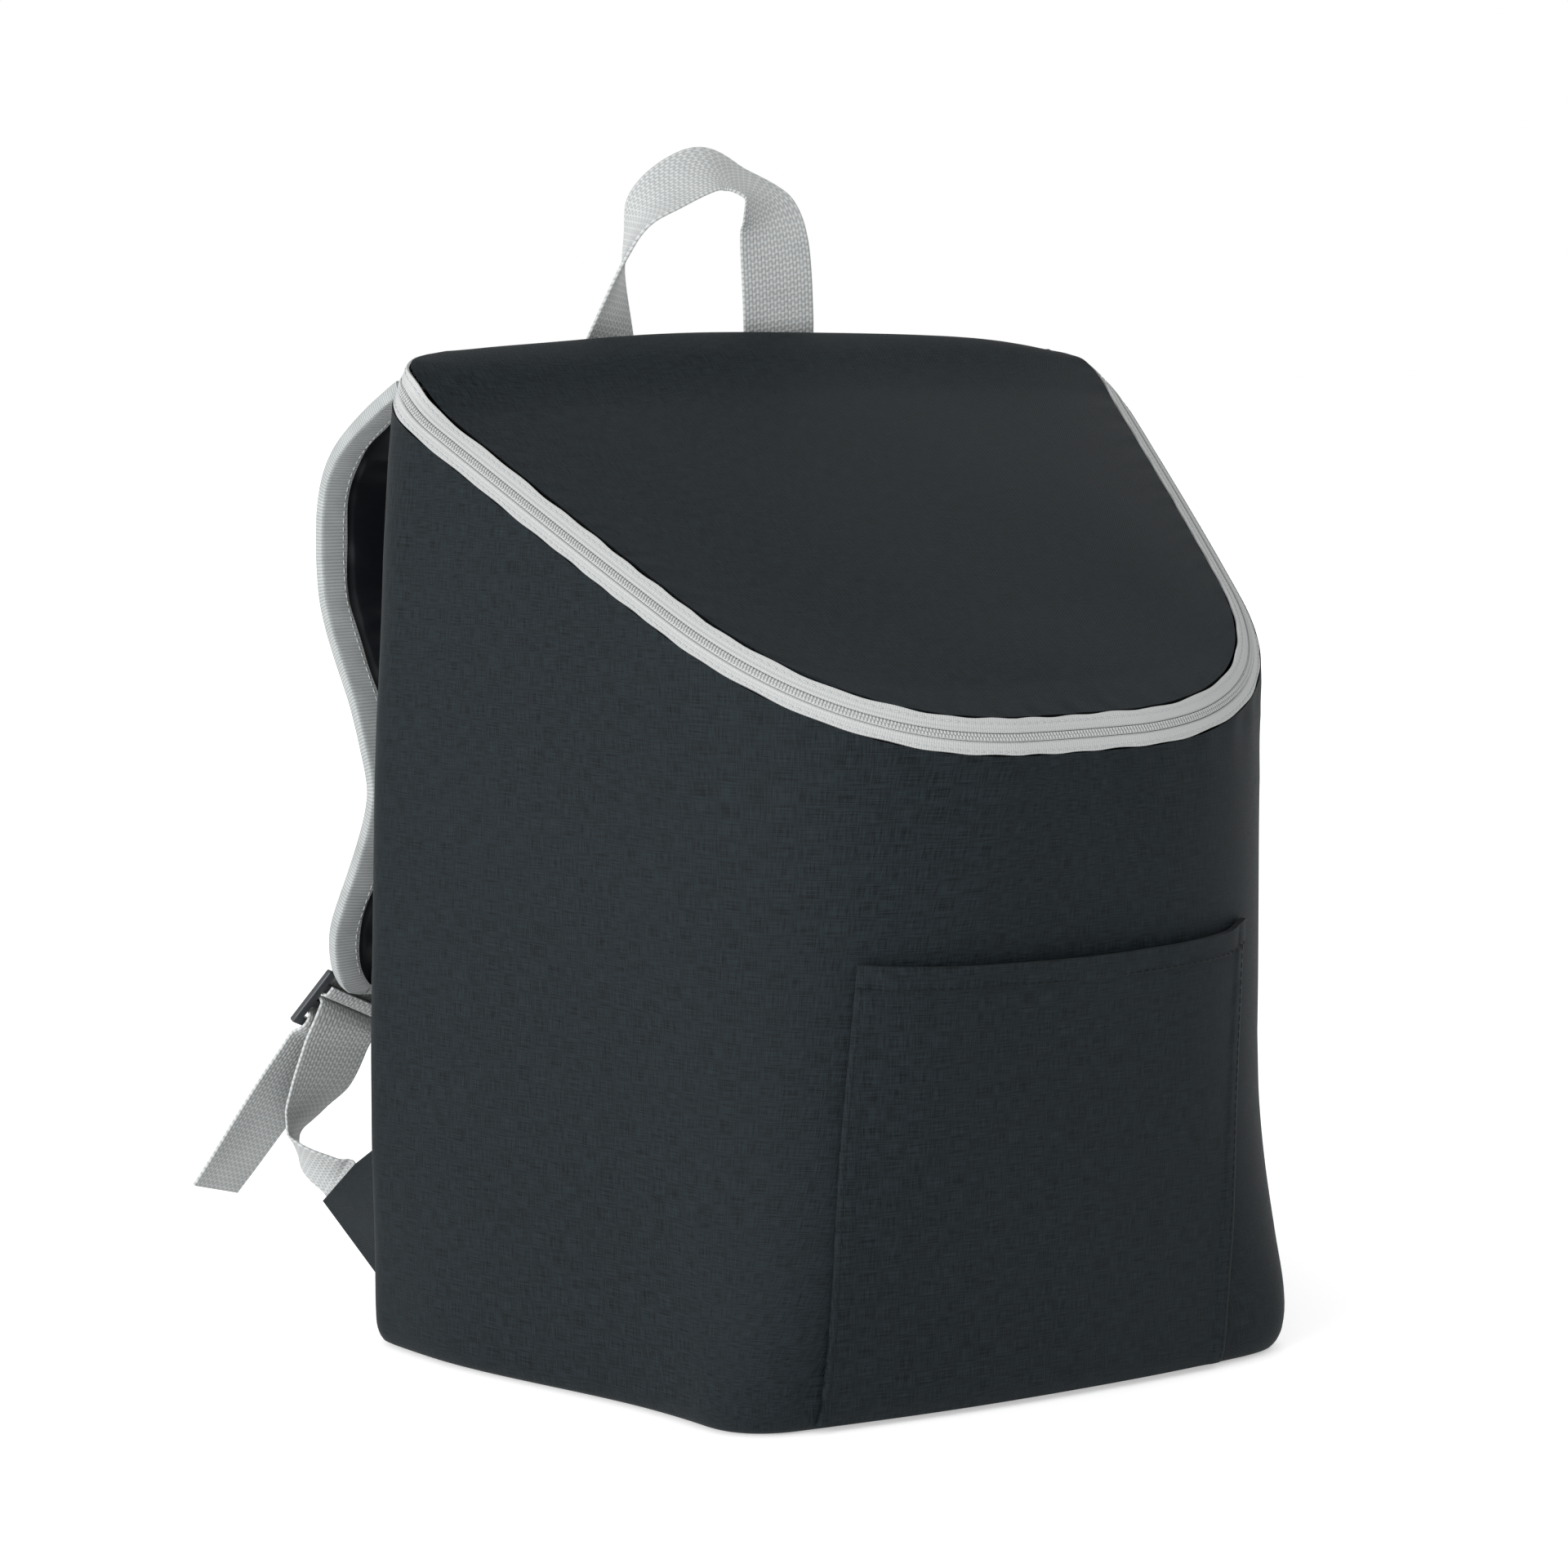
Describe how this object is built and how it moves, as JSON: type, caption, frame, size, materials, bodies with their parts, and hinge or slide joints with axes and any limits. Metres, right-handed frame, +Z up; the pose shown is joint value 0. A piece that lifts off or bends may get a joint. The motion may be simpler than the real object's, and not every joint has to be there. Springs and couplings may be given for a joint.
{
  "type": "cooler backpack",
  "caption": "Insulated cooler backpack of black cloth with a sloping zipped lid, an open front pocket, a webbing haul loop and padded shoulder straps.",
  "frame": {"origin": "on the underside of the base, midway between its sides, on the floor that the bag stands on", "axes": "+Z up towards the haul loop, -Y towards the front pocket, +Y towards the shoulder straps, +X to the right seen from the front"},
  "size_m": [0.3908, 0.3126, 0.4275],
  "materials": {
    "black_polyester": "woven",
    "black_strap_lining": "satin",
    "grey_webbing": "woven",
    "zip_tape": "woven",
    "black_plastic": "satin"
  },
  "bodies": {
    "root": {"side_wrap": "black_polyester", "back_panel": "black_polyester", "base_panel": "black_polyester", "lid": "black_polyester", "zip_tape_lower": "zip_tape", "zip_coil": "zip_tape", "zip_tape_upper": "zip_tape", "zip_slider": "black_plastic", "front_pocket": "black_polyester", "haul_loop": "grey_webbing", "strap_pad_left": "black_strap_lining", "strap_pad_right": "black_strap_lining", "strap_binding_left": "grey_webbing", "strap_binding_right": "grey_webbing", "strap_tab_left": "grey_webbing", "strap_tab_right": "grey_webbing", "ladder_lock_left": "black_plastic", "ladder_lock_right": "black_plastic", "adjuster_webbing_left": "grey_webbing", "adjuster_webbing_right": "grey_webbing", "corner_tab_left": "black_polyester", "corner_tab_right": "black_polyester"}
  },
  "joints": []
}
